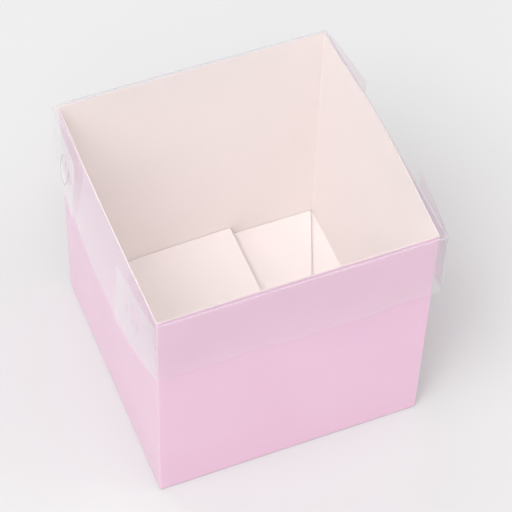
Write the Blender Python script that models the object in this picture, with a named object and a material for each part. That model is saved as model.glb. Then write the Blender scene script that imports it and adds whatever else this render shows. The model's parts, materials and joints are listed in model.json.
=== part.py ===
"""Folding flower box with a clear lift-off lid.

The box is two die-cut blanks. One is a paperboard carton: four walls, a glue flap and a snap-lock
floor. The other is a clear film lid: a top panel, four skirts and four corner flaps with lock tongues.
Every crease is a hinge line, so each panel between creases is an object of its own.

Metres, +Z up, +X to the right, +Y to the rear. The origin is on the ground under the carton's middle.
"""

import math

import bpy
from mathutils import Vector

# The carton
WIDTH = 0.120
DEPTH = 0.118
HEIGHT = 0.122
BOARD = 0.0005
GAP = 0.0003
GLUE_FLAP_WIDTH = 0.013
GLUE_FLAP_BOTTOM = 0.0025
GLUE_FLAP_SLANT = 0.003

# The snap-lock floor, from its lowest layer up
ROOT_CLEARANCE = 0.0008
RIGHT_FLAP_LENGTH = 0.034
RIGHT_FLAP_TAPER = 0.006
NECK_LENGTH = 0.047
NECK_HALF_WIDTH = 0.015
TONGUE_HALF_WIDTH = 0.013
TONGUE_HEIGHT = 0.009
DUST_FLAP_DEPTH = 0.042
DUST_FLAP_SLANT = math.tan(math.radians(22.0))
DUST_FLAP_CORNER = 0.018
LEFT_FLAP_LENGTH = 0.077
LEFT_FLAP_HALF_WIDTH = 0.057
LEFT_FLAP_RISE = math.radians(3.3)
NOTCH_HALF_WIDTH = 0.015
NOTCH_DEPTH = 0.010

# The lid
FILM = 0.0003
LID_HALF_WIDTH = 0.0615
LID_HALF_DEPTH = 0.0607
SKIRT_DEPTH = 0.036
CREASE_CLEARANCE = 0.0004
CORNER_FLAP_LENGTHS = {"front": 0.036, "rear": 0.032}
CORNER_FLAP_SLANT = 0.0015
LOCK_CENTRE = 0.020
LOCK_DROP = 0.014
LOCK_HALF_WIDTH = 0.005
LOCK_HEIGHT = 0.011

CORNER_RADIUS = 0.0015
ARC_STEPS = 4
LOCK_ARC_STEPS = 10

# An outline lies in its object's local XY plane, and these turn that plane to face each way
FACING_UP = (0.0, 0.0, 0.0)
FACING_FRONT = (math.pi / 2, 0.0, 0.0)
FACING_SIDE = (math.pi / 2, 0.0, math.pi / 2)

PINK_BOARD = {"colour": (0.84, 0.54, 0.72), "roughness": 0.5, "alpha": 1.0}
CREAM_BOARD = {"colour": (0.90, 0.80, 0.76), "roughness": 0.75, "alpha": 1.0}
CLEAR_FILM = {"colour": (0.92, 0.93, 0.95), "roughness": 0.1, "alpha": 0.25}


def clear_scene():
    """Removes what the scene holds and makes the object's own collection."""
    for old in list(bpy.data.objects):
        bpy.data.objects.remove(old)
    parts = bpy.data.collections.new("flower_box")
    bpy.context.scene.collection.children.link(parts)
    return parts


def make_material(name, finish):
    """A Principled material with the finish's colour, roughness and alpha."""
    material = bpy.data.materials.new(name + "_material")
    material.use_nodes = True
    shader = material.node_tree.nodes["Principled BSDF"]
    shader.inputs["Base Color"].default_value = (*finish["colour"], 1.0)
    shader.inputs["Roughness"].default_value = finish["roughness"]
    shader.inputs["Metallic"].default_value = 0.0
    shader.inputs["Alpha"].default_value = finish["alpha"]
    return material


def world_origin(thing):
    """Where an object's origin is, given that nothing above it is rotated."""
    point = Vector((0.0, 0.0, 0.0))
    while thing is not None:
        point += thing.location
        thing = thing.parent
    return point


def add_crease(parts, name, position, parent=None):
    """An empty on a crease's hinge line, which carries the panel that folds there."""
    crease = bpy.data.objects.new(name, None)
    crease.empty_display_size = 0.01
    parts.objects.link(crease)
    crease.parent = parent
    crease.location = Vector(position) - world_origin(parent)
    return crease


def attach(thing, name, finish, parent, position, rotation):
    """Names a panel, gives it its own material, and puts it at a world position under its crease."""
    thing.name = name
    thing.data.name = name
    thing.data.materials.append(make_material(name, finish))
    thing.parent = parent
    thing.location = Vector(position) - world_origin(parent)
    thing.rotation_euler = rotation
    return thing


def add_plate(parts, name, low, high, finish, parent=None):
    """A rectangular panel from its lowest to its highest world corner."""
    bpy.ops.mesh.primitive_cube_add(size=1.0, location=(0.0, 0.0, 0.0))
    plate = bpy.context.object
    for collection in list(plate.users_collection):
        collection.objects.unlink(plate)
    parts.objects.link(plate)
    size = Vector(high) - Vector(low)
    for vertex in plate.data.vertices:
        vertex.co = Vector([vertex.co[i] * size[i] for i in range(3)])
    centre = (Vector(high) + Vector(low)) / 2
    return attach(plate, name, finish, parent, centre, FACING_UP)


def add_panel(parts, name, outlines, thickness, finish, parent, position, rotation):
    """A flat panel cut to an outline. Any further outlines are windows in it."""
    curve = bpy.data.curves.new(name, "CURVE")
    curve.dimensions = "2D"
    curve.fill_mode = "BOTH"
    curve.extrude = thickness / 2
    for outline in outlines:
        spline = curve.splines.new("POLY")
        spline.points.add(len(outline) - 1)
        for point, (x, y) in zip(spline.points, outline):
            point.co = (x, y, 0.0, 1.0)
        spline.use_cyclic_u = True
    panel = bpy.data.objects.new(name, curve)
    parts.objects.link(panel)
    return attach(panel, name, finish, parent, position, rotation)


def round_corners(corners):
    """An outline from (x, y, radius) corners, with each corner that has a radius turned into an arc."""
    outline = []
    for i, (x, y, radius) in enumerate(corners):
        here = Vector((x, y))
        if radius == 0.0:
            outline.append((x, y))
            continue
        before = (Vector(corners[i - 1][:2]) - here).normalized()
        after = (Vector(corners[(i + 1) % len(corners)][:2]) - here).normalized()
        half = before.angle(after) / 2
        centre = here + (before + after).normalized() * radius / math.sin(half)
        start = here + before * radius / math.tan(half) - centre
        end = here + after * radius / math.tan(half) - centre
        for step in range(ARC_STEPS + 1):
            spoke = start.lerp(end, step / ARC_STEPS).normalized() * radius
            outline.append(tuple(centre + spoke))
    return outline


def mirror_x(outline):
    """The outline mirrored left to right, with its points still in the same turning direction."""
    return [(-x, y) for x, y in reversed(outline)]


def shift(outline, x_move, y_move):
    """The outline moved in its plane."""
    return [(x + x_move, y + y_move) for x, y in outline]


def lock_outline(margin):
    """The U shape of a lock tongue, hanging from its crease at y = 0, grown by a margin."""
    radius = LOCK_HALF_WIDTH + margin
    arc_centre = LOCK_HALF_WIDTH - LOCK_HEIGHT
    outline = [(radius, margin), (-radius, margin)]
    for step in range(LOCK_ARC_STEPS + 1):
        angle = math.pi * (1 + step / LOCK_ARC_STEPS)
        outline.append((radius * math.cos(angle), arc_centre + radius * math.sin(angle)))
    return outline


def make_walls(parts):
    """Four walls. The front and rear ones run the full width and the side ones fit between them."""
    x_out = WIDTH / 2
    y_out = DEPTH / 2
    y_in = y_out - BOARD
    y_side = y_in - GAP
    add_plate(parts, "front_wall", (-x_out, -y_out, 0.0), (x_out, -y_in, HEIGHT), PINK_BOARD)
    add_plate(parts, "rear_wall", (-x_out, y_in, 0.0), (x_out, y_out, HEIGHT), PINK_BOARD)
    add_plate(parts, "left_wall", (-x_out, -y_side, 0.0), (BOARD - x_out, y_side, HEIGHT), PINK_BOARD)
    add_plate(parts, "right_wall", (x_out - BOARD, -y_side, 0.0), (x_out, y_side, HEIGHT), PINK_BOARD)


def make_glue_flap(parts):
    """The strip that joins the blank's two ends, inside the front wall at its left end."""
    left = -WIDTH / 2 + BOARD + GAP
    outline = [
        (0.0, GLUE_FLAP_BOTTOM),
        (GLUE_FLAP_WIDTH, GLUE_FLAP_BOTTOM + GLUE_FLAP_SLANT),
        (GLUE_FLAP_WIDTH, HEIGHT - GLUE_FLAP_SLANT),
        (0.0, HEIGHT - GAP),
    ]
    middle = -DEPTH / 2 + BOARD + GAP + BOARD / 2
    add_panel(parts, "glue_flap", [outline], BOARD, CREAM_BOARD, None, (left, middle, 0.0), FACING_FRONT)


def make_right_floor_flap(parts):
    """The lowest floor flap, with the neck and standing tongue that lock it into the top one."""
    crease = add_crease(parts, "right_floor_crease", (WIDTH / 2, 0.0, 0.0))
    root = DEPTH / 2 - BOARD - ROOT_CLEARANCE
    tip = root - RIGHT_FLAP_TAPER
    half = round_corners(
        [
            (-ROOT_CLEARANCE, root, 0.0),
            (-RIGHT_FLAP_LENGTH, tip, CORNER_RADIUS),
            (-RIGHT_FLAP_LENGTH, NECK_HALF_WIDTH, CORNER_RADIUS),
            (-NECK_LENGTH + ROOT_CLEARANCE, NECK_HALF_WIDTH, 0.0),
        ]
    )
    outline = half + [(x, -y) for x, y in reversed(half)]
    middle = (WIDTH / 2, 0.0, BOARD / 2)
    add_panel(parts, "floor_flap_right", [outline], BOARD, CREAM_BOARD, crease, middle, FACING_UP)

    tongue = round_corners(
        [
            (-TONGUE_HALF_WIDTH, BOARD / 2 + GAP, 0.0),
            (TONGUE_HALF_WIDTH, BOARD / 2 + GAP, 0.0),
            (TONGUE_HALF_WIDTH, TONGUE_HEIGHT, 2 * CORNER_RADIUS),
            (-TONGUE_HALF_WIDTH, TONGUE_HEIGHT, 2 * CORNER_RADIUS),
        ]
    )
    foot = (WIDTH / 2 - NECK_LENGTH, 0.0, BOARD / 2)
    add_panel(parts, "floor_lock_tongue", [tongue], BOARD, CREAM_BOARD, crease, foot, FACING_SIDE)


def make_dust_flaps(parts):
    """The front and rear floor flaps, which lie on the right one and are cut back along it."""
    right = WIDTH / 2 - ROOT_CLEARANCE
    left = -WIDTH / 2 + BOARD + 2 * ROOT_CLEARANCE
    shoulder = DUST_FLAP_DEPTH - DUST_FLAP_CORNER
    outline = round_corners(
        [
            (left, -ROOT_CLEARANCE, 0.0),
            (left, -shoulder, CORNER_RADIUS),
            (left + DUST_FLAP_CORNER, -DUST_FLAP_DEPTH, CORNER_RADIUS),
            (right - DUST_FLAP_DEPTH * DUST_FLAP_SLANT, -DUST_FLAP_DEPTH, CORNER_RADIUS),
            (right - ROOT_CLEARANCE * DUST_FLAP_SLANT, -ROOT_CLEARANCE, 0.0),
        ]
    )
    middle = BOARD + GAP + BOARD / 2
    for side, y_sign in (("rear", 1), ("front", -1)):
        y = y_sign * DEPTH / 2
        crease = add_crease(parts, side + "_floor_crease", (0.0, y, 0.0))
        flap = [(x, y_sign * v) for x, v in outline]
        name = "floor_flap_" + side
        add_panel(parts, name, [flap], BOARD, CREAM_BOARD, crease, (0.0, y, middle), FACING_UP)


def make_left_floor_flap(parts):
    """The top floor flap, which rises a little to its notched free edge."""
    axis = (-WIDTH / 2 + BOARD + 2 * GAP, 0.0, 2 * (BOARD + GAP) + BOARD / 2)
    crease = add_crease(parts, "left_floor_crease", axis)
    half = round_corners(
        [
            (0.0, LEFT_FLAP_HALF_WIDTH, 0.0),
            (LEFT_FLAP_LENGTH, LEFT_FLAP_HALF_WIDTH, CORNER_RADIUS / 2),
            (LEFT_FLAP_LENGTH, NOTCH_HALF_WIDTH, CORNER_RADIUS),
            (LEFT_FLAP_LENGTH - NOTCH_DEPTH, NOTCH_HALF_WIDTH, CORNER_RADIUS),
            (LEFT_FLAP_LENGTH - NOTCH_DEPTH, 0.0, 0.0),
        ]
    )
    outline = half[:-1] + [(x, -y) for x, y in reversed(half[:-1])]
    tilt = (0.0, -LEFT_FLAP_RISE, 0.0)
    add_panel(parts, "floor_flap_left", [outline], BOARD, CREAM_BOARD, crease, axis, tilt)


def make_lid_top_and_sides(parts, lid):
    """The lid's top panel and its two side skirts, which have a window behind each lock tongue."""
    top_low = HEIGHT + GAP
    y_crease = LID_HALF_DEPTH - FILM / 2
    low = (-LID_HALF_WIDTH, -y_crease, top_low)
    high = (LID_HALF_WIDTH, y_crease, top_low + FILM)
    add_plate(parts, "lid_top", low, high, CLEAR_FILM, lid)

    half = LID_HALF_DEPTH - FILM - GAP
    top = top_low - GAP
    bottom = top_low + FILM / 2 - SKIRT_DEPTH
    outline = [(-half, bottom), (half, bottom), (half, top), (-half, top)]
    lock = lock_outline(2 * GAP)
    height = top_low + FILM / 2 - LOCK_DROP
    windows = [shift(lock, sign * (y_crease - LOCK_CENTRE), height) for sign in (-1, 1)]
    for side, x_sign in (("left", -1), ("right", 1)):
        middle = (x_sign * (LID_HALF_WIDTH - FILM / 2), 0.0, 0.0)
        outlines = [outline, *windows]
        add_panel(parts, "lid_skirt_" + side, outlines, FILM, CLEAR_FILM, lid, middle, FACING_SIDE)


def make_lid_end(parts, lid, side, y_sign):
    """The front or rear skirt, with a corner flap and its lock tongue at each end."""
    y_crease = y_sign * (LID_HALF_DEPTH - FILM / 2)
    z_crease = HEIGHT + GAP + FILM / 2
    x_crease = LID_HALF_WIDTH + GAP + FILM / 2
    skirt_crease = add_crease(parts, side + "_skirt_crease", (0.0, y_crease, z_crease), lid)
    half = x_crease - CREASE_CLEARANCE
    low = (-half, y_crease - FILM / 2, z_crease - SKIRT_DEPTH)
    high = (half, y_crease + FILM / 2, z_crease - CREASE_CLEARANCE)
    add_plate(parts, "lid_skirt_" + side, low, high, CLEAR_FILM, skirt_crease)

    # Local x runs from the crease along the flap, towards the middle of the box
    length = CORNER_FLAP_LENGTHS[side]
    flap = round_corners(
        [
            (CREASE_CLEARANCE, -SKIRT_DEPTH, 0.0),
            (length, -SKIRT_DEPTH, CORNER_RADIUS),
            (length, -CORNER_FLAP_SLANT, CORNER_RADIUS / 2),
            (CREASE_CLEARANCE, -CREASE_CLEARANCE, 0.0),
        ]
    )
    window = shift(lock_outline(GAP), LOCK_CENTRE, -LOCK_DROP)
    tongue = lock_outline(0.0)
    if y_sign > 0:
        flap = mirror_x(flap)
        window = mirror_x(window)
    for end, x_sign in (("left", -1), ("right", 1)):
        place = side + "_" + end
        corner = (x_sign * x_crease, y_crease, z_crease)
        crease = add_crease(parts, place + "_corner_crease", corner, skirt_crease)
        name = "lid_corner_flap_" + place
        add_panel(parts, name, [flap, window], FILM, CLEAR_FILM, crease, corner, FACING_SIDE)
        lock = (x_sign * x_crease, y_crease - y_sign * LOCK_CENTRE, z_crease - LOCK_DROP)
        lock_crease = add_crease(parts, place + "_lock_crease", lock, crease)
        name = "lid_lock_tongue_" + place
        add_panel(parts, name, [tongue], FILM, CLEAR_FILM, lock_crease, lock, FACING_SIDE)


def main():
    """Builds the carton, its floor and its lid."""
    parts = clear_scene()
    make_walls(parts)
    make_glue_flap(parts)
    make_right_floor_flap(parts)
    make_dust_flaps(parts)
    make_left_floor_flap(parts)
    lid = add_crease(parts, "lid_lift", (0.0, 0.0, HEIGHT))
    make_lid_top_and_sides(parts, lid)
    make_lid_end(parts, lid, "front", -1)
    make_lid_end(parts, lid, "rear", 1)


main()
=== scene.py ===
"""Looks of the folding flower box: a creased, printed paperboard carton under a clear folded film lid.

Every piece is built where its CAD panel is, in metres. The paperboard pieces get their bent creases,
cut edges, bow and print, and the film pieces get their bent creases, flare and gloss.
"""

import json
import math

import bmesh
import bpy
from mathutils import Matrix, Vector


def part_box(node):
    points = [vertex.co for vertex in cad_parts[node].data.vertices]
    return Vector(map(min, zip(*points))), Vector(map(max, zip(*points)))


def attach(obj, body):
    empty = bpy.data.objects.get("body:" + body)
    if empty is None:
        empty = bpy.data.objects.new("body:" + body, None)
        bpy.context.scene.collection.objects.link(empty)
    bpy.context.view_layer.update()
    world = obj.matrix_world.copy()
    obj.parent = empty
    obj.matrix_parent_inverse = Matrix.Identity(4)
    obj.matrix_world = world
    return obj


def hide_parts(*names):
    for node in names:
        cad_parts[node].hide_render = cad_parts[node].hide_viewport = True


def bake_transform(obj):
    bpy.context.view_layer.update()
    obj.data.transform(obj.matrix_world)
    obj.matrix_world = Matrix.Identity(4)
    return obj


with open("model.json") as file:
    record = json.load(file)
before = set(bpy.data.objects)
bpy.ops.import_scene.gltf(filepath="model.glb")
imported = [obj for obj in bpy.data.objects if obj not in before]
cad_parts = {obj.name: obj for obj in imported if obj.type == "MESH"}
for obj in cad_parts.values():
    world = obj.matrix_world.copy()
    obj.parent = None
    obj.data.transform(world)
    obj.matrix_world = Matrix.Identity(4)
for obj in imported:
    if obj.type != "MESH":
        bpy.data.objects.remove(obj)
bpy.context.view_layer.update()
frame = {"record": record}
record = frame["record"]
joints = {joint["name"]: joint for joint in record["behaviour"]["joints"]}


def hinge(name):
    """The point that a hinge joint turns about."""
    return Vector(joints[name]["pos_m"])


# ---------------------------------------------------------------- sizes taken from the frame

X_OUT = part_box("front_wall")[1][0]
Y_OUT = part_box("rear_wall")[1][1]
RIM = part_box("front_wall")[1][2]
BOARD = X_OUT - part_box("right_wall")[0][0]

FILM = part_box("lid_top")[1][2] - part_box("lid_top")[0][2]
LID_Z = (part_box("lid_top")[1][2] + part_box("lid_top")[0][2]) / 2
FLAP_X = hinge("front_right_corner_fold").x
CREASE_Y = hinge("rear_skirt_fold").y
SIDE_X = (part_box("lid_skirt_right")[0][0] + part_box("lid_skirt_right")[1][0]) / 2
SKIRT_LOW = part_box("lid_skirt_front")[0][2]
FLAP_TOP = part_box("lid_corner_flap_front_left")[1][2]
LOCK_Z = hinge("front_left_lock_bend").z
LOCK_Y = abs(hinge("front_left_lock_bend").y)
LOCK_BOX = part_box("lid_lock_tongue_front_left")
LOCK_HALF = (LOCK_BOX[1][1] - LOCK_BOX[0][1]) / 2
LOCK_LOW = LOCK_BOX[0][2]

# ---------------------------------------------------------------- chosen sizes of the fine shape

GRID = 0.0025               # spacing of the points that let a panel curve
CORNER_RADIUS = 0.0008      # outside of the carton's upright creases
CORNER_STEPS = 5            # facets of half an upright crease
BEND_RADIUS = 0.00045       # middle of the film in the lid's creases
RIGHT_BOW = 0.0021          # how far the right wall's rim bows out
LEFT_BOW = 0.0006

GLUE_FLAP_SLANT = 0.003     # how much the glue flap narrows at each end
GLUE_GAP = 0.00003          # between the glue flap and the front wall

FLOOR_LOCK_NECK = 0.015     # half the width of the right flap's neck and of the left flap's notch
SHOULDER_REACH = 0.034      # from the right wall to the right flap's shoulders
SHOULDER_TAPER = 0.006
NECK_REACH = 0.0002         # how far the neck passes its CAD panel, to meet the tongue
TONGUE_LEAN = 0.0012        # how far the floor tongue's tip leans from upright
NOTCH_DEPTH = 0.010
DUST_GAP = 0.0007           # from a dust flap's root to the wall's outside
DUST_CREASE_INSET = 0.0008  # from a dust flap's crease to the wall's outside
DUST_CREASE_END = 0.0030    # from the end of that crease to the side walls' outsides
DUST_TAPER = 0.018          # both ways, at the corner of a dust flap next to the left wall
DUST_SLANT = math.tan(math.radians(22.0))
DUST_CURL = 0.0007          # how far a dust flap's slanted edge curls up
CURL_REACH = 0.012          # how far in from that edge the curl starts
CURL_START = 0.006          # how far from the root the curl is at its full height
LEFT_FLAP_REAR_REACH = 0.0013   # how far the left flap's rear and front edges pass its CAD panel
LEFT_FLAP_FRONT_REACH = 0.0003
LEFT_FLAP_BOW = 0.0006

KERF = 0.00010              # width of the cut round a lock tongue
WINDOW_MARGIN = 0.0006      # how much larger than its tongue a side skirt's window is
SIDE_SKIRT_INSET = 0.0014   # room for the corner creases at a side skirt's ends
LID_SAG = 0.0009            # how far the lid's top panel sags in its middle
LID_RIPPLE = 0.00018
CREASE_TOP = LID_Z + BEND_RADIUS * 0.3  # the middle of the film where the lid's creases start
FLAP_STANDOFF = 0.0003      # between a corner flap and the side skirt inside it


# ---------------------------------------------------------------- materials


def new_material(name):
    """An empty node material and its tree."""
    material = bpy.data.materials.new(name)
    material.use_nodes = True
    material.node_tree.nodes.clear()
    return material, material.node_tree


def add_node(tree, kind, **values):
    """A node with some of its inputs and settings given by name."""
    node = tree.nodes.new(kind)
    for key, value in values.items():
        if key in node.inputs:
            node.inputs[key].default_value = value
        else:
            setattr(node, key, value)
    return node


def object_coordinates(tree):
    """The socket that gives each point's place in its own piece."""
    return add_node(tree, "ShaderNodeTexCoord").outputs["Object"]


def noise(tree, where, scale, detail=2.0, roughness=0.5):
    """A noise pattern from 0 to 1."""
    node = add_node(tree, "ShaderNodeTexNoise")
    node.inputs["Scale"].default_value = scale
    node.inputs["Detail"].default_value = detail
    node.inputs["Roughness"].default_value = roughness
    tree.links.new(where, node.inputs["Vector"])
    return node.outputs["Fac"]


def ramp(tree, source, low, high, low_value, high_value):
    """source between low and high, mapped to between two values."""
    node = add_node(tree, "ShaderNodeMapRange")
    node.inputs["From Min"].default_value = low
    node.inputs["From Max"].default_value = high
    node.inputs["To Min"].default_value = low_value
    node.inputs["To Max"].default_value = high_value
    tree.links.new(source, node.inputs["Value"])
    return node.outputs["Result"]


def mix_colours(tree, share, first, second):
    """A colour socket between two colours."""
    node = add_node(tree, "ShaderNodeMix", data_type="RGBA")
    node.inputs[6].default_value = (*first, 1.0)
    node.inputs[7].default_value = (*second, 1.0)
    tree.links.new(share, node.inputs[0])
    return node.outputs[2]


def arithmetic(tree, operation, first, second=None):
    """A Math node on sockets or numbers."""
    node = add_node(tree, "ShaderNodeMath", operation=operation)
    for i, value in enumerate((first, second)):
        if value is None:
            continue
        if isinstance(value, (int, float)):
            node.inputs[i].default_value = value
        else:
            tree.links.new(value, node.inputs[i])
    return node.outputs[0]


def bump(tree, height, distance, strength=1.0, below=None):
    """A bump's normal socket, on top of another bump if given."""
    node = add_node(tree, "ShaderNodeBump")
    node.inputs["Strength"].default_value = strength
    node.inputs["Distance"].default_value = distance
    tree.links.new(height, node.inputs["Height"])
    if below is not None:
        tree.links.new(below, node.inputs["Normal"])
    return node.outputs["Normal"]


def crease_share(tree, where):
    """1 on the carton's upright creases, fading to 0 a little away from them."""
    split = add_node(tree, "ShaderNodeSeparateXYZ")
    tree.links.new(where, split.inputs[0])
    from_side = arithmetic(tree, "SUBTRACT", X_OUT, arithmetic(tree, "ABSOLUTE", split.outputs[0]))
    from_end = arithmetic(tree, "SUBTRACT", Y_OUT, arithmetic(tree, "ABSOLUTE", split.outputs[1]))
    away = arithmetic(tree, "MAXIMUM", from_side, from_end)
    return ramp(tree, away, 0.0002, 0.0012, 1.0, 0.0)


def make_print():
    """The carton's outside: a satin pink print on board, paler along its upright creases, partly from
    crease wear and partly as a painted highlight.
    """
    material, tree = new_material("pink_print")
    where = object_coordinates(tree)
    cloud = noise(tree, where, 22.0, 3.0)
    colour = mix_colours(tree, ramp(tree, cloud, 0.3, 0.7, 0.0, 1.0), PRINT_DEEP, PRINT_PALE)
    # Paler along the upright creases: partly crease wear, partly a painted highlight
    crease_wear_and_highlight = arithmetic(
        tree,
        "MULTIPLY",
        crease_share(tree, where),
        ramp(tree, noise(tree, where, 900.0, 3.0, 0.7), 0.35, 0.65, 0.0, 0.2),
    )
    worn_and_lit = add_node(tree, "ShaderNodeMix", data_type="RGBA")
    tree.links.new(crease_wear_and_highlight, worn_and_lit.inputs[0])
    tree.links.new(colour, worn_and_lit.inputs[6])
    worn_and_lit.inputs[7].default_value = (*PRINT_CREASE_WEAR_AND_HIGHLIGHT, 1.0)
    fibre = noise(tree, where, 1600.0, 3.0, 0.6)
    mottle = noise(tree, where, 260.0, 2.0)
    relief = bump(tree, mottle, 0.00002, 0.35)
    relief = bump(tree, fibre, 0.000006, 0.4, relief)
    shader = add_node(tree, "ShaderNodeBsdfPrincipled")
    tree.links.new(worn_and_lit.outputs[2], shader.inputs["Base Color"])
    tree.links.new(ramp(tree, mottle, 0.3, 0.7, 0.40, 0.50), shader.inputs["Roughness"])
    shader.inputs["Specular IOR Level"].default_value = 0.2
    shader.inputs["Coat Weight"].default_value = 0.9
    shader.inputs["Coat Roughness"].default_value = 0.25
    tree.links.new(relief, shader.inputs["Normal"])
    output = add_node(tree, "ShaderNodeOutputMaterial")
    tree.links.new(shader.outputs[0], output.inputs["Surface"])
    return material


def make_liner():
    """The carton's inside: uncoated warm white board with faint fibres."""
    material, tree = new_material("board_inside")
    where = object_coordinates(tree)
    cloud = noise(tree, where, 30.0, 3.0)
    fibre = noise(tree, where, 1300.0, 4.0, 0.65)
    speck = noise(tree, where, 420.0, 2.0, 0.6)
    coarse = arithmetic(tree, "MULTIPLY", cloud, 0.6)
    fine = arithmetic(tree, "MULTIPLY", speck, 0.4)
    tone = arithmetic(tree, "ADD", coarse, fine)
    colour = mix_colours(tree, ramp(tree, tone, 0.35, 0.65, 0.0, 1.0), LINER_DEEP, LINER_PALE)
    relief = bump(tree, speck, 0.00003, 0.35)
    relief = bump(tree, fibre, 0.000012, 0.5, relief)
    shader = add_node(tree, "ShaderNodeBsdfPrincipled")
    tree.links.new(colour, shader.inputs["Base Color"])
    tree.links.new(ramp(tree, fibre, 0.3, 0.7, 0.72, 0.86), shader.inputs["Roughness"])
    shader.inputs["Specular IOR Level"].default_value = 0.3
    tree.links.new(relief, shader.inputs["Normal"])
    output = add_node(tree, "ShaderNodeOutputMaterial")
    tree.links.new(shader.outputs[0], output.inputs["Surface"])
    return material


def make_cut_edge():
    """The board's cut edge: pale, slightly ragged core."""
    material, tree = new_material("board_cut_edge")
    where = object_coordinates(tree)
    grain = noise(tree, where, 2200.0, 3.0, 0.7)
    colour = mix_colours(tree, ramp(tree, grain, 0.3, 0.7, 0.0, 1.0), EDGE_DEEP, EDGE_PALE)
    shader = add_node(tree, "ShaderNodeBsdfPrincipled")
    tree.links.new(colour, shader.inputs["Base Color"])
    shader.inputs["Roughness"].default_value = 0.85
    tree.links.new(bump(tree, grain, 0.00004, 0.5), shader.inputs["Normal"])
    output = add_node(tree, "ShaderNodeOutputMaterial")
    tree.links.new(shader.outputs[0], output.inputs["Surface"])
    return material


def make_film(name, haze_and_shade_share, slant_gloss, haze_and_shade_colour):
    """Clear film: it lets light straight through, mirrors more at a slant, and is a little hazy. Given
    a dark colour in place of its haze, it paints shade.
    """
    material, tree = new_material(name)
    where = object_coordinates(tree)
    wave = noise(tree, where, 45.0, 2.0)
    scuff = noise(tree, where, 700.0, 3.0, 0.7)
    relief = bump(tree, wave, 0.0001, 0.2)
    clear = add_node(tree, "ShaderNodeBsdfTransparent")
    clear.inputs["Color"].default_value = (*FILM_TINT, 1.0)
    mirror = add_node(tree, "ShaderNodeBsdfGlossy")
    mirror.inputs["Color"].default_value = (1.0, 1.0, 1.0, 1.0)
    tree.links.new(ramp(tree, scuff, 0.35, 0.7, 0.05, 0.14), mirror.inputs["Roughness"])
    tree.links.new(relief, mirror.inputs["Normal"])
    facing = add_node(tree, "ShaderNodeLayerWeight")
    facing.inputs["Blend"].default_value = 0.5
    slant = arithmetic(tree, "POWER", facing.outputs["Facing"], FILM_SLANT_POWER)
    slant_shine = arithmetic(tree, "MULTIPLY", slant, slant_gloss)
    shine = arithmetic(tree, "ADD", slant_shine, FILM_FRONT_GLOSS)
    sheet = add_node(tree, "ShaderNodeMixShader")
    tree.links.new(shine, sheet.inputs[0])
    tree.links.new(clear.outputs[0], sheet.inputs[1])
    tree.links.new(mirror.outputs[0], sheet.inputs[2])
    haze_and_shade_bsdf = add_node(tree, "ShaderNodeBsdfDiffuse")
    haze_and_shade_bsdf.inputs["Color"].default_value = (*haze_and_shade_colour, 1.0)
    both = add_node(tree, "ShaderNodeMixShader")
    tree.links.new(ramp(tree, scuff, 0.3, 0.75, haze_and_shade_share * 0.7, haze_and_shade_share * 1.6), both.inputs[0])
    tree.links.new(sheet.outputs[0], both.inputs[1])
    tree.links.new(haze_and_shade_bsdf.outputs[0], both.inputs[2])
    output = add_node(tree, "ShaderNodeOutputMaterial")
    tree.links.new(both.outputs[0], output.inputs["Surface"])
    return material


PRINT_DEEP = (0.80, 0.505, 0.665)
PRINT_PALE = (0.82, 0.53, 0.685)
# The paler print at the creases: crease wear with a painted highlight
PRINT_CREASE_WEAR_AND_HIGHLIGHT = (0.86, 0.74, 0.79)
LINER_DEEP = (0.95, 0.879, 0.863)
LINER_PALE = (0.965, 0.897, 0.883)
EDGE_DEEP = (0.66, 0.57, 0.56)
EDGE_PALE = (0.73, 0.63, 0.62)
FILM_TINT = (0.998, 0.998, 0.999)
FILM_MILK = (0.86, 0.86, 0.88)
FILM_SHADE = (0.36, 0.33, 0.37)
FILM_SLANT_GLOSS = 0.95
FILM_SLANT_POWER = 4.6
FILM_EDGE_GLOSS = 0.3
FILM_FRONT_GLOSS = 0.04

PRINT = make_print()
LINER = make_liner()
CUT_EDGE = make_cut_edge()
CLEAR_FILM = make_film("clear_film", 0.008, FILM_SLANT_GLOSS, FILM_MILK)
FILM_EDGE = make_film("film_cut_edge", 0.05, FILM_EDGE_GLOSS, FILM_MILK)
FILM_BEND = make_film("film_crease", 0.10, FILM_SLANT_GLOSS, FILM_MILK)
# The lock tongues' cut edges: dark diffuse film, painted shade
FILM_CUT_SHADE = make_film("film_lock_cut_painted_shade", 0.45, FILM_EDGE_GLOSS, FILM_SHADE)

# The materials of a sheet's front, back and edges
BOARD_SLOTS = [PRINT, LINER, CUT_EDGE]
FLAP_SLOTS = [LINER, PRINT, CUT_EDGE]
FILM_SLOTS = [CLEAR_FILM, CLEAR_FILM, FILM_EDGE]
BEND_SLOTS = [FILM_BEND, FILM_BEND, FILM_EDGE]
LOCK_SLOTS = [CLEAR_FILM, CLEAR_FILM, FILM_CUT_SHADE]


# ---------------------------------------------------------------- mesh helpers


def finish_mesh(name, work, materials, sharp_degrees=35.0):
    """A linked object from a bmesh, with its materials, shaded smooth but for its sharp edges."""
    mesh = bpy.data.meshes.new(name)
    work.to_mesh(mesh)
    work.free()
    for material in materials:
        mesh.materials.append(material)
    piece = bpy.data.objects.new(name, mesh)
    bpy.context.scene.collection.objects.link(piece)
    mesh.shade_smooth()
    mesh.set_sharp_from_angle(angle=math.radians(sharp_degrees))
    return piece


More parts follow.
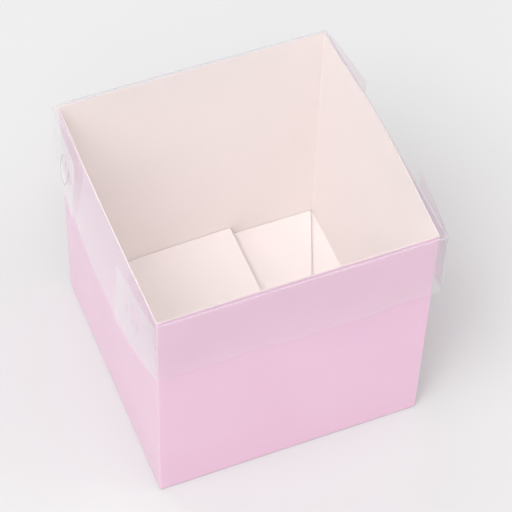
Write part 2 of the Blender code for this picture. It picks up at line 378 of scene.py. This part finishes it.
def thick_sheet(name, columns, rows, place, thickness, materials):
    """A closed thin solid over a grid.

    place(column, row) gives a point of its middle and its front normal. Its front face takes the first
    material, its back face the second and its edges the third."""
    work = bmesh.new()
    front = []
    back = []
    for row in range(rows + 1):
        for column in range(columns + 1):
            middle, normal = place(column, row)
            offset = normal.normalized() * thickness / 2
            front.append(work.verts.new(middle + offset))
            back.append(work.verts.new(middle - offset))

    def index(column, row):
        return row * (columns + 1) + column

    def add_face(corners, slot):
        work.faces.new(corners).material_index = slot

    for row in range(rows):
        for column in range(columns):
            steps = ((0, 0), (1, 0), (1, 1), (0, 1))
            ring = [index(column + across, row + up) for across, up in steps]
            add_face([front[i] for i in ring], 0)
            add_face([back[i] for i in reversed(ring)], 1)
    border = [index(c, 0) for c in range(columns)]
    border += [index(columns, r) for r in range(rows)]
    border += [index(c, rows) for c in range(columns, 0, -1)]
    border += [index(0, r) for r in range(rows, 0, -1)]
    for here, there in zip(border, border[1:] + border[:1]):
        add_face([front[there], front[here], back[here], back[there]], 2)
    bmesh.ops.recalc_face_normals(work, faces=work.faces)
    return finish_mesh(name, work, materials)


def evaluated_mesh(thing):
    """A mesh copy of an object as its modifiers leave it."""
    bpy.context.view_layer.update()
    graph = bpy.context.evaluated_depsgraph_get()
    return bpy.data.meshes.new_from_object(thing.evaluated_get(graph), depsgraph=graph)


def outline_prism(outlines, height):
    """A closed solid of some height cut to a flat outline. Any further outlines are holes."""
    curve = bpy.data.curves.new("outline", "CURVE")
    curve.dimensions = "2D"
    curve.fill_mode = "BOTH"
    curve.extrude = height / 2
    for outline in outlines:
        spline = curve.splines.new("POLY")
        spline.points.add(len(outline) - 1)
        for point, (x, y) in zip(spline.points, outline):
            point.co = (x, y, 0.0, 1.0)
        spline.use_cyclic_u = True
    flat = bpy.data.objects.new("outline", curve)
    bpy.context.scene.collection.objects.link(flat)
    mesh = evaluated_mesh(flat)
    bpy.data.objects.remove(flat)
    work = bmesh.new()
    work.from_mesh(mesh)
    bmesh.ops.remove_doubles(work, verts=work.verts, dist=1e-6)
    work.to_mesh(mesh)
    work.free()
    prism = bpy.data.objects.new("outline_prism", mesh)
    bpy.context.scene.collection.objects.link(prism)
    return prism


def cut_panel(name, outlines, thickness, materials, place):
    """A thin panel cut to an outline, with grid points in it so that it can curve.

    It is cut flat, with its outline in XY, and then place(x, y, depth) moves each point to the frame.
    Its +Z side takes the first material, its -Z side the second and its edges the third."""
    prism = outline_prism(outlines, 10 * thickness)
    xs = [x for x, y in outlines[0]]
    ys = [y for x, y in outlines[0]]
    x_low, x_high = min(xs) - GRID / 3, max(xs) + GRID / 3
    y_low, y_high = min(ys) - GRID / 3, max(ys) + GRID / 3
    columns = max(1, round((x_high - x_low) / GRID))
    rows = max(1, round((y_high - y_low) / GRID))

    def flat_place(column, row):
        x = x_low + (x_high - x_low) * column / columns
        y = y_low + (y_high - y_low) * row / rows
        return Vector((x, y, 0.0)), Vector((0.0, 0.0, 1.0))

    blank = thick_sheet(name, columns, rows, flat_place, thickness, [])
    cut = blank.modifiers.new("cut", "BOOLEAN")
    cut.operation = "INTERSECT"
    cut.object = prism
    mesh = evaluated_mesh(blank)
    bpy.data.objects.remove(blank)
    bpy.data.objects.remove(prism)

    work = bmesh.new()
    work.from_mesh(mesh)
    bmesh.ops.remove_doubles(work, verts=work.verts, dist=1e-6)
    work.normal_update()
    for face in work.faces:
        if face.normal.z > 0.5:
            face.material_index = 0
        elif face.normal.z < -0.5:
            face.material_index = 1
        else:
            face.material_index = 2
    for vertex in work.verts:
        vertex.co = place(vertex.co.x, vertex.co.y, vertex.co.z)
    bmesh.ops.recalc_face_normals(work, faces=work.faces)
    return finish_mesh(name, work, materials)


def round_corners(corners, steps=5):
    """An outline from (x, y, radius) corners. Each corner that has a radius becomes an arc."""
    outline = []
    for i, (x, y, radius) in enumerate(corners):
        here = Vector((x, y))
        if radius == 0.0:
            outline.append((x, y))
            continue
        before = (Vector(corners[i - 1][:2]) - here).normalized()
        after = (Vector(corners[(i + 1) % len(corners)][:2]) - here).normalized()
        half = before.angle(after) / 2
        centre = here + (before + after).normalized() * radius / math.sin(half)
        start = here + before * radius / math.tan(half) - centre
        end = here + after * radius / math.tan(half) - centre
        for step in range(steps + 1):
            outline.append(tuple(centre + start.lerp(end, step / steps).normalized() * radius))
    return outline


def stand_for(piece, slot, *nodes):
    """Hides the CAD nodes that a piece stands for; the piece and the slot are not used."""
    if nodes:
        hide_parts(*nodes)


def dress(piece, slot, body, *nodes):
    """Rides a piece on its body in place of its CAD nodes."""
    stand_for(piece, slot, *nodes)
    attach(piece, body)


def clamp(value, low=0.0, high=1.0):
    """The value, kept between two limits."""
    return max(low, min(high, value))


# ---------------------------------------------------------------- carton walls


def wall_bow(side, along, z):
    """How far out a side wall stands from flat, for along from 0 to 1 down its length."""
    most = {"right": RIGHT_BOW, "left": LEFT_BOW}.get(side, 0.0)
    return most * math.sin(math.pi * along) ** 1.3 * (z / RIM) ** 1.6


def make_wall(side, outward, half_length):
    """One wall of the sleeve, from the middle of one upright crease to the middle of the next."""
    outward = Vector(outward)
    along_axis = Vector((-outward.y, outward.x, 0.0))
    distance = X_OUT if abs(outward.x) > 0.5 else Y_OUT
    arc = [math.radians(45.0 * step / CORNER_STEPS) for step in range(CORNER_STEPS + 1)]
    straight = half_length - CORNER_RADIUS
    flats = 46
    rows = 40
    stations = []
    middle_radius = CORNER_RADIUS - BOARD / 2
    for angle in reversed(arc):
        normal = outward * math.cos(angle) - along_axis * math.sin(angle)
        centre = outward * (distance - CORNER_RADIUS) - along_axis * straight
        stations.append((centre + normal * middle_radius, normal, 0.0))
    for step in range(1, flats):
        share = step / flats
        point = outward * (distance - BOARD / 2) + along_axis * straight * (2 * share - 1)
        stations.append((point, outward, share))
    for angle in arc:
        normal = outward * math.cos(angle) + along_axis * math.sin(angle)
        centre = outward * (distance - CORNER_RADIUS) + along_axis * straight
        stations.append((centre + normal * middle_radius, normal, 1.0))

    def place(column, row):
        point, normal, share = stations[column]
        z = BOARD + (RIM - BOARD) * row / rows
        bow = outward * wall_bow(side, share, z)
        return point + bow + Vector((0.0, 0.0, z)), normal

    piece = thick_sheet("carton_wall_" + side, len(stations) - 1, rows, place, BOARD, BOARD_SLOTS)
    dress(piece, "carton_board", "carton", side + "_wall")


def make_glue_flap():
    """The glued strip inside the front wall, pressed flat on it but for its crease."""
    low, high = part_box("glue_flap")
    outline = round_corners(
        [
            (low[0], low[2], 0.0),
            (high[0], low[2] + GLUE_FLAP_SLANT, 0.001),
            (high[0], high[2] - GLUE_FLAP_SLANT, 0.001),
            (low[0], high[2], 0.0),
        ]
    )
    glued = -Y_OUT + 1.5 * BOARD + GLUE_GAP

    def place(x, y, depth):
        return Vector((x, glued - depth, y))

    piece = cut_panel("carton_glue_flap", [outline], BOARD, BOARD_SLOTS, place)
    dress(piece, "floor_board", "carton", "glue_flap")


# ---------------------------------------------------------------- floor


def make_floor_flap(name, node, body, outline, level, rise=0.0, pivot_x=0.0, bow=0.0, curl=None):
    """A floor flap with its print side down.

    It may rise along X from a pivot, bow up in between, and curl by curl(x, y)."""
    length = max(abs(x - pivot_x) for x, y in outline)

    def place(x, y, depth):
        share = clamp((x - pivot_x) / length)
        z = level + rise * (x - pivot_x) + bow * math.sin(math.pi * share)
        if curl:
            z += curl(x, y)
        return Vector((x, y, z + depth))

    piece = cut_panel(name, [outline], BOARD, FLAP_SLOTS, place)
    dress(piece, "floor_board", body, node)


def mirrored_outline(half):
    """A whole outline from its +Y half."""
    return half + [(x, -y) for x, y in reversed(half)]


def make_right_flap():
    """The lowest floor flap, which carries the lock tongue on its neck."""
    low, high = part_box("floor_flap_right")
    shoulder = X_OUT - SHOULDER_REACH
    half = round_corners(
        [
            (X_OUT - BOARD, high[1], 0.0),
            (shoulder, high[1] - SHOULDER_TAPER, 0.002),
            (shoulder, FLOOR_LOCK_NECK, 0.002),
            (low[0] - NECK_REACH, FLOOR_LOCK_NECK, 0.0),
        ]
    )
    outline = mirrored_outline(half)
    make_floor_flap("floor_flap_right_board", "floor_flap_right", "right_floor", outline, BOARD / 2)


def make_floor_tongue():
    """The upright tongue that stands in the left flap's notch."""
    tongue_low, tongue_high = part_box("floor_lock_tongue")
    half_width = tongue_high[1]
    tongue = round_corners(
        [
            (-half_width, BOARD, 0.0),
            (half_width, BOARD, 0.0),
            (half_width, tongue_high[2], 0.003),
            (-half_width, tongue_high[2], 0.003),
        ]
    )
    middle = (tongue_low[0] + tongue_high[0]) / 2

    def place(y, z, depth):
        lean = TONGUE_LEAN * (z / tongue_high[2]) ** 2
        return Vector((middle + lean + depth, y, z))

    piece = cut_panel("floor_lock_tongue_board", [tongue], BOARD, FLAP_SLOTS, place)
    dress(piece, "floor_board", "right_floor", "floor_lock_tongue")


def make_dust_flap(side, y_sign):
    """The front or rear floor flap, between the right flap and the left one."""
    low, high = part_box("floor_flap_" + side)
    root = Y_OUT - DUST_GAP
    tip = max(abs(low[1]), abs(high[1])) - (high[1] - low[1])
    corners = [
        (low[0], root, 0.0),
        (low[0], tip + DUST_TAPER, 0.003),
        (low[0] + DUST_TAPER, tip, 0.003),
        (high[0] - (root - tip) * DUST_SLANT, tip, 0.002),
        (high[0], root, 0.0),
    ]
    outline = [(x, y_sign * y) for x, y in round_corners(corners)]
    level = (low[2] + high[2]) / 2

    def curl(x, y):
        from_root = root - abs(y)
        from_edge = high[0] - from_root * DUST_SLANT - x
        edge_share = clamp(1 - from_edge / CURL_REACH)
        return DUST_CURL * edge_share**2 * clamp(from_root / CURL_START)

    name = "floor_flap_%s_board" % side
    make_floor_flap(name, "floor_flap_" + side, side + "_floor", outline, level, curl=curl)


def make_left_flap():
    """The top floor flap, with the notch for the tongue. Its front edge clears the glue flap."""
    pivot = hinge("left_floor_fold")
    low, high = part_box("floor_flap_left")
    rear_edge = high[1] + LEFT_FLAP_REAR_REACH
    front_edge = low[1] - LEFT_FLAP_FRONT_REACH
    half = round_corners(
        [
            (pivot.x, rear_edge, 0.0),
            (high[0], rear_edge, 0.0008),
            (high[0], FLOOR_LOCK_NECK, 0.002),
            (high[0] - NOTCH_DEPTH, FLOOR_LOCK_NECK, 0.002),
            (high[0] - NOTCH_DEPTH, 0.0, 0.0),
        ]
    )[:-1]
    outline = [(x, max(y, front_edge)) for x, y in mirrored_outline(half)]
    rise = (high[2] - BOARD - pivot.z + BOARD / 2) / (high[0] - pivot.x)
    make_floor_flap(
        "floor_flap_left_board",
        "floor_flap_left",
        "left_floor",
        outline,
        pivot.z,
        rise,
        pivot.x,
        bow=LEFT_FLAP_BOW,
    )


# ---------------------------------------------------------------- bent creases


def bent_strip(name, path, length_low, length_high, place, thickness, materials, columns=24):
    """A strip bent along a crease. path lists the middle of its section as (u, v) points.

    place(u, v, along) moves a point to the frame."""
    normals = []
    for i in range(len(path)):
        before = Vector(path[max(i - 1, 0)])
        after = Vector(path[min(i + 1, len(path) - 1)])
        along = (after - before).normalized()
        normals.append(Vector((-along.y, along.x)))

    def grid(column, row):
        share = column / columns
        along = length_low + (length_high - length_low) * share
        u, v = path[row]
        middle = place(u, v, along)
        tip = place(u + normals[row].x * thickness, v + normals[row].y * thickness, along)
        return middle, tip - middle

    return thick_sheet(name, columns, len(path) - 1, grid, thickness, materials)


def arc_path(centre, radius, start_degrees, end_degrees, steps=7):
    """Points along a circular arc."""
    path = []
    for step in range(steps + 1):
        angle = math.radians(start_degrees + (end_degrees - start_degrees) * step / steps)
        path.append((centre[0] + radius * math.cos(angle), centre[1] + radius * math.sin(angle)))
    return path


def make_floor_crease(side, outward, half_length, run_in, start, end):
    """The bent board from a wall's foot, at start, round to its floor flap, at end.

    The (u, v) points run outward from the wall's outer face and up."""
    outward = Vector(outward)
    along_axis = Vector((-outward.y, outward.x, 0.0))
    distance = X_OUT if abs(outward.x) > 0.5 else Y_OUT
    path = arc_path((-BOARD, BOARD), BOARD / 2, 0.0, -90.0) + run_in

    def place(u, v, along):
        return outward * (distance + u) + along_axis * along + Vector((0.0, 0.0, v))

    name = "floor_crease_" + side
    piece = bent_strip(name, path, -half_length, half_length, place, BOARD, BOARD_SLOTS, columns=40)
    stand_for(piece, "floor_board")
    place(*start, 0.0)
    place(*end, 0.0)
    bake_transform(piece)


def make_floor_creases():
    """The four bends at the walls' feet."""
    dust_low, dust_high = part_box("floor_flap_rear")
    dust = (dust_low[2] + dust_high[2]) / 2
    into_dust = [(-DUST_CREASE_INSET, dust * share) for share in (0.45, 0.8, 1.0)]
    pivot = hinge("left_floor_fold")
    inset = X_OUT + pivot.x
    into_left = [(-inset * 0.75, pivot.z * 0.4), (-inset * 0.88, pivot.z * 0.75), (-inset, pivot.z)]
    side_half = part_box("right_wall")[1][1] - CORNER_RADIUS
    end_half = X_OUT - DUST_CREASE_END
    foot = (-BOARD / 2, BOARD)
    make_floor_crease("right", (1, 0, 0), side_half, [], foot, (-BOARD, BOARD / 2))
    make_floor_crease("rear", (0, 1, 0), end_half, into_dust, foot, into_dust[-1])
    make_floor_crease("front", (0, -1, 0), end_half, into_dust, foot, into_dust[-1])
    make_floor_crease("left", (-1, 0, 0), side_half, into_left, foot, into_left[-1])


# ---------------------------------------------------------------- lid

# How far the lid's corners sit from square, in metres: (x, y) for each end and side
LID_SKEW = {
    (-1, -1): (0.0010, -0.0004),
    (1, -1): (0.0010, -0.0004),
    (1, 1): (-0.0002, -0.0006),
    (-1, 1): (0.0002, 0.0),
}

# How far each corner flap's free end stands out at its top, and how soon it gets there
TOP_FLARE = {
    ("front", "left"): (0.0027, 0.5),
    ("front", "right"): (0.0049, 0.95),
    ("rear", "left"): (0.0016, 0.6),
    ("rear", "right"): (0.0041, 0.95),
}

# How far the lid's free edges and its side creases bulge out on each side
FOOT_BULGE = {"left": 0.0054, "right": 0.0050}
RIM_BULGE = {"left": 0.0, "right": 0.0009}

# How far the foot of a lock tongue stands proud of its flap
LOCK_STAND = {
    ("front", "left"): 0.0001,
    ("front", "right"): 0.0002,
    ("rear", "left"): 0.0014,
    ("rear", "right"): 0.0003,
}
SHADED_CUT_STAND = 0.001       # a tongue that stands out further than this gets painted shade on its cut edge


def skewed(point):
    """A lid point moved as the loose, slightly skewed lid sits."""
    u = clamp(point.x / FLAP_X, -1.0, 1.0)
    v = clamp(point.y / CREASE_Y, -1.0, 1.0)
    move = Vector((0.0, 0.0, 0.0))
    for (x_end, y_end), (dx, dy) in LID_SKEW.items():
        share = (1 + x_end * u) * (1 + y_end * v) / 4
        move += Vector((dx, dy, 0.0)) * share
    return point + move


def end_ripple(x, z):
    """How far a front or rear skirt stands out from flat: a slow ripple that grows to its free edge."""
    drop = clamp((LID_Z - z) / (LID_Z - SKIRT_LOW))
    wave = 0.0006 * math.sin(x * 75.0 + 0.6) + 0.0004 * math.sin(x * 190.0 + 2.0)
    ends = 1.0 - abs(clamp(x / FLAP_X, -1.0, 1.0)) ** 6
    return (0.0004 + wave) * drop**1.4 * ends


def make_lid_top():
    """The top panel, which sags a little between the rims that carry it."""
    columns = rows = 48

    def place(column, row):
        u = 2 * column / columns - 1
        v = 2 * row / rows - 1
        inside = (1 - u * u) * (1 - v * v)
        sag = (LID_SAG - LID_RIPPLE * math.sin(5.0 * u + 2.0 * v)) * inside
        edge = SIDE_X + rim_bulge("right" if u > 0 else "left", v * CREASE_Y) - BEND_RADIUS
        point = Vector((u * edge, v * (CREASE_Y - BEND_RADIUS), CREASE_TOP - sag))
        return skewed(point), Vector((0.0, 0.0, 1.0))

    piece = thick_sheet("lid_film_top", columns, rows, place, FILM, FILM_SLOTS)
    dress(piece, "lid_film", "lid", "lid_top")


def lock_shape(grow):
    """The U of a lock tongue under its bend at y = 0, made larger by grow."""
    radius = LOCK_HALF + grow
    arc_centre = LOCK_HALF - (LOCK_Z - LOCK_LOW)
    outline = [(radius, 0.0), (-radius, 0.0)]
    for step in range(17):
        angle = math.pi * (1 + step / 16)
        outline.append((radius * math.cos(angle), arc_centre + radius * math.sin(angle)))
    return outline


def drop_share(z):
    """0 at the lid's top, growing to 1 at the skirts' free edges."""
    return clamp((LID_Z - z) / (LID_Z - SKIRT_LOW))


def rim_bulge(end, y):
    """How far the lid's side crease is pushed out by the bowed wall inside it."""
    share = clamp((y + CREASE_Y) / (2 * CREASE_Y))
    return RIM_BULGE[end] * math.sin(math.pi * share) ** 1.3


def foot_bulge(end, y):
    """How far the free edges on one side of the lid bulge out: most a little in front of the middle."""
    share = clamp((y + CREASE_Y) / (2 * CREASE_Y))
    return FOOT_BULGE[end] * math.sin(math.pi * share**0.84) ** 0.95


def side_bulge(end, y, z):
    """How far out a side skirt stands from flat."""
    drop = drop_share(z)
    return rim_bulge(end, y) * (1 - drop) + foot_bulge(end, y) * drop**1.2


def skirt_outline(half):
    """A skirt's flat outline, under its top crease."""
    top = LID_Z - BEND_RADIUS
    return [(-half, SKIRT_LOW), (half, SKIRT_LOW), (half, top), (-half, top)]


def make_side_skirt(side, x_sign):
    """A side skirt with its window behind each lock tongue."""
    outline = skirt_outline(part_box("lid_skirt_" + side)[1][1] - SIDE_SKIRT_INSET)
    windows = []
    for y_sign in (-1, 1):
        windows.append([(x + y_sign * LOCK_Y, y + LOCK_Z) for x, y in lock_shape(WINDOW_MARGIN)])

    def place(x, y, depth):
        out = SIDE_X + side_bulge(side, x, y) + depth
        return skewed(Vector((x_sign * out, x, y)))

    piece = cut_panel("lid_film_side_" + side, [outline, *windows], FILM, FILM_SLOTS, place)
    dress(piece, "lid_film", "lid", "lid_skirt_" + side)


def make_end_skirt(side, y_sign):
    """The front or rear skirt, between its upright creases."""

    def place(x, y, depth):
        out = CREASE_Y + end_ripple(x, y) + depth
        return skewed(Vector((x, y_sign * out, y)))

    outline = skirt_outline(FLAP_X - BEND_RADIUS)
    piece = cut_panel("lid_film_" + side, [outline], FILM, FILM_SLOTS, place)
    dress(piece, "lid_film", "lid_" + side, "lid_skirt_" + side)


def flap_flare(side, end, reach, length, z):
    """How far a corner flap stands out from flat, at some reach from its crease."""
    drop = drop_share(z)
    most, haste = TOP_FLARE[(side, end)]
    top = most * clamp(reach / length, 0.0, 1.1) ** haste
    y = CREASE_Y - reach if side == "rear" else reach - CREASE_Y
    foot = foot_bulge(end, y) + FLAP_STANDOFF * clamp(reach / 0.006)
    return top * (1 - drop) + foot * drop


def make_corner_flap(side, y_sign, end, x_sign):
    """A corner flap, flaring away from the side skirt, and the lock tongue cut in it."""
    label = side + "_" + end
    low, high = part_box("lid_corner_flap_" + label)
    length = CREASE_Y + high[1] if y_sign < 0 else CREASE_Y - low[1]
    flap = round_corners(
        [
            (BEND_RADIUS, SKIRT_LOW, 0.0),
            (length, SKIRT_LOW, 0.0012),
            (length, FLAP_TOP - 0.0015, 0.0008),
            (BEND_RADIUS, FLAP_TOP - 0.0002, 0.0),
        ]
    )
    lock_reach = CREASE_Y - LOCK_Y
    window = [(x + lock_reach, y + LOCK_Z) for x, y in lock_shape(KERF)]
    tongue = [(x + lock_reach, y + LOCK_Z) for x, y in lock_shape(0.0)]

    def place(x, y, depth):
        out = FLAP_X + flap_flare(side, end, x, length, y) + depth
        return skewed(Vector((x_sign * out, y_sign * (CREASE_Y - x), y)))

    piece = cut_panel("lid_film_corner_" + label, [flap, window], FILM, FILM_SLOTS, place)
    dress(piece, "lid_film", "corner_" + label, "lid_corner_flap_" + label)

    def place_tongue(x, y, depth):
        stand = LOCK_STAND[(side, end)] * clamp((LOCK_Z - y) / (LOCK_Z - LOCK_LOW)) ** 0.8
        return place(x, y, depth + stand)

    # A tongue that stands well out gets painted shade on its cut edges
    slots = LOCK_SLOTS if LOCK_STAND[(side, end)] > SHADED_CUT_STAND else FILM_SLOTS
    piece = cut_panel("lid_film_lock_" + label, [tongue], FILM, slots, place_tongue)
    stand_for(piece, "lid_film", "lid_lock_tongue_" + label)
    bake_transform(piece)


def make_top_crease(name, body, outward, distance, half_length):
    """The bend from the top panel down into a skirt."""
    outward = Vector(outward)
    along_axis = Vector((-outward.y, outward.x, 0.0))
    path = arc_path((-BEND_RADIUS, 0.0), BEND_RADIUS, 90.0, 0.0)

    def place(u, v, along):
        reach = distance + u
        if outward.x:
            reach += rim_bulge("right" if outward.x > 0 else "left", along * outward.x)
        upward = Vector((0.0, 0.0, CREASE_TOP - BEND_RADIUS + v))
        return skewed(outward * reach + along_axis * along + upward)

    piece = bent_strip(name, path, -half_length, half_length, place, FILM, BEND_SLOTS, columns=48)
    stand_for(piece, "lid_film")
    if body == "lid":
        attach(piece, "lid")
    else:
        place(*path[0], 0.0)
        place(*path[-1], 0.0)
        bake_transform(piece)


def make_corner_crease(side, y_sign, end, x_sign):
    """The upright bend from a front or rear skirt round into its corner flap."""
    path = arc_path((0.0, 0.0), BEND_RADIUS, 90.0, 0.0)

    def place(u, v, z):
        x = x_sign * (FLAP_X - BEND_RADIUS + u)
        y = y_sign * (CREASE_Y - BEND_RADIUS + v)
        return skewed(Vector((x, y, z)))

    label = side + "_" + end
    name = "lid_film_corner_crease_" + label
    top = LID_Z - BEND_RADIUS
    piece = bent_strip(name, path, SKIRT_LOW, top, place, FILM, BEND_SLOTS, columns=14)
    stand_for(piece, "lid_film")
    middle_z = (SKIRT_LOW + LID_Z) / 2
    at_skirt = place(*path[0], middle_z)
    at_flap = place(*path[-1], middle_z)
    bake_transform(piece)


def make_lid():
    """The whole lid."""
    make_lid_top()
    for end, x_sign in (("left", -1), ("right", 1)):
        make_side_skirt(end, x_sign)
        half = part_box("lid_skirt_" + end)[1][1]
        make_top_crease("lid_film_crease_" + end, "lid", (x_sign, 0, 0), SIDE_X, half)
    for side, y_sign in (("front", -1), ("rear", 1)):
        make_end_skirt(side, y_sign)
        half = FLAP_X - BEND_RADIUS
        make_top_crease("lid_film_crease_" + side, "lid_" + side, (0, y_sign, 0), CREASE_Y, half)
        for end, x_sign in (("left", -1), ("right", 1)):
            make_corner_flap(side, y_sign, end, x_sign)
            make_corner_crease(side, y_sign, end, x_sign)


# ---------------------------------------------------------------- camera, floor and light

CAMERA_AZIMUTH = -23.56
CAMERA_ELEVATION = 52.67
CAMERA_ROLL = 2.14
CAMERA_DISTANCE = 0.9785
CAMERA_ASIDE = (-0.00726, -0.03929)     # the box's base in the view, right and up from its middle
LENS = 153.0
SENSOR = 36.0


def make_camera():
    """The camera, looking down at the box from the front left."""
    azimuth = math.radians(CAMERA_AZIMUTH)
    elevation = math.radians(CAMERA_ELEVATION)
    roll = math.radians(CAMERA_ROLL)
    back = Vector(
        (
            math.sin(azimuth) * math.cos(elevation),
            -math.cos(azimuth) * math.cos(elevation),
            math.sin(elevation),
        )
    )
    level = Vector((0.0, 0.0, 1.0)).cross(back).normalized()
    up = back.cross(level)
    right = level * math.cos(roll) + up * math.sin(roll)
    top = up * math.cos(roll) - level * math.sin(roll)
    data = bpy.data.cameras.new("camera")
    data.lens = LENS
    data.sensor_width = SENSOR
    data.clip_start = 0.05
    camera = bpy.data.objects.new("camera", data)
    bpy.context.scene.collection.objects.link(camera)
    turn = Matrix((right, top, back)).transposed().to_4x4()
    place = back * CAMERA_DISTANCE - right * CAMERA_ASIDE[0] - top * CAMERA_ASIDE[1]
    camera.matrix_world = Matrix.Translation(place) @ turn
    bpy.context.scene.camera = camera


def make_floor():
    """A plain pale floor."""
    work = bmesh.new()
    bmesh.ops.create_grid(work, x_segments=8, y_segments=8, size=3.0)
    material, tree = new_material("studio_floor")
    where = object_coordinates(tree)
    colour = mix_colours(tree, noise(tree, where, 3.0), FLOOR_DEEP, FLOOR_PALE)
    shader = add_node(tree, "ShaderNodeBsdfPrincipled")
    tree.links.new(colour, shader.inputs["Base Color"])
    shader.inputs["Roughness"].default_value = 0.9
    shader.inputs["Specular IOR Level"].default_value = 0.1
    output = add_node(tree, "ShaderNodeOutputMaterial")
    tree.links.new(shader.outputs[0], output.inputs["Surface"])
    floor = finish_mesh("studio_floor", work, [material])
    floor.location.z = -0.0002


def add_softbox(azimuth, elevation, power):
    """A large square area light aimed at the box. Azimuth 0 is in front of it and 90 to its left."""
    around, upward = math.radians(azimuth), math.radians(elevation)
    toward = Vector(
        (
            -math.sin(around) * math.cos(upward),
            -math.cos(around) * math.cos(upward),
            math.sin(upward),
        )
    )
    data = bpy.data.lights.new("softbox", "AREA")
    data.shape = "SQUARE"
    data.size = SOFTBOX_SIZE
    data.energy = power
    light = bpy.data.objects.new("softbox", data)
    bpy.context.scene.collection.objects.link(light)
    light.location = toward * SOFTBOX_DISTANCE + Vector((0.0, 0.0, RIM / 2))
    light.rotation_euler = (-toward).to_track_quat("-Z", "Y").to_euler()


def make_light():
    """White surroundings, brightest near the horizon, and softboxes strongest at the front left."""
    world = bpy.data.worlds.new("studio")
    world.use_nodes = True
    tree = world.node_tree
    background = tree.nodes["Background"]
    background.inputs["Color"].default_value = (1.0, 1.0, 1.0, 1.0)
    split = add_node(tree, "ShaderNodeSeparateXYZ")
    tree.links.new(add_node(tree, "ShaderNodeTexCoord").outputs["Generated"], split.inputs[0])
    glow = ramp(tree, split.outputs[2], 0.45, 0.85, HORIZON_STRENGTH, ZENITH_STRENGTH)
    tree.links.new(glow, background.inputs["Strength"])
    bpy.context.scene.world = world
    for azimuth, elevation, power in SOFTBOXES:
        add_softbox(azimuth, elevation, power)


FLOOR_DEEP = (0.61, 0.61, 0.61)
FLOOR_PALE = (0.62, 0.62, 0.62)
HORIZON_STRENGTH = 0.60
ZENITH_STRENGTH = 0.30
SOFTBOX_DISTANCE = 3.5
SOFTBOX_SIZE = 2.2

# Azimuth, elevation and power in watts
SOFTBOXES = (
    (0, 55, 11.0),
    (35, 55, 46.5),
    (70, 55, 53.0),
    (160, 55, 28.0),
    (-120, 50, 8.0),
    (-60, 55, 26.0),
)

bpy.context.scene.view_settings.view_transform = "Standard"
# Light may pass straight through every layer of film where the lid's panels overlap
bpy.context.scene.cycles.transparent_max_bounces = 32
make_camera()
make_floor()
make_light()
make_wall("front", (0, -1, 0), X_OUT)
make_wall("rear", (0, 1, 0), X_OUT)
make_wall("left", (-1, 0, 0), Y_OUT)
make_wall("right", (1, 0, 0), Y_OUT)
make_glue_flap()
make_right_flap()
make_floor_tongue()
make_dust_flap("rear", 1)
make_dust_flap("front", -1)
make_left_flap()
make_floor_creases()
make_lid()
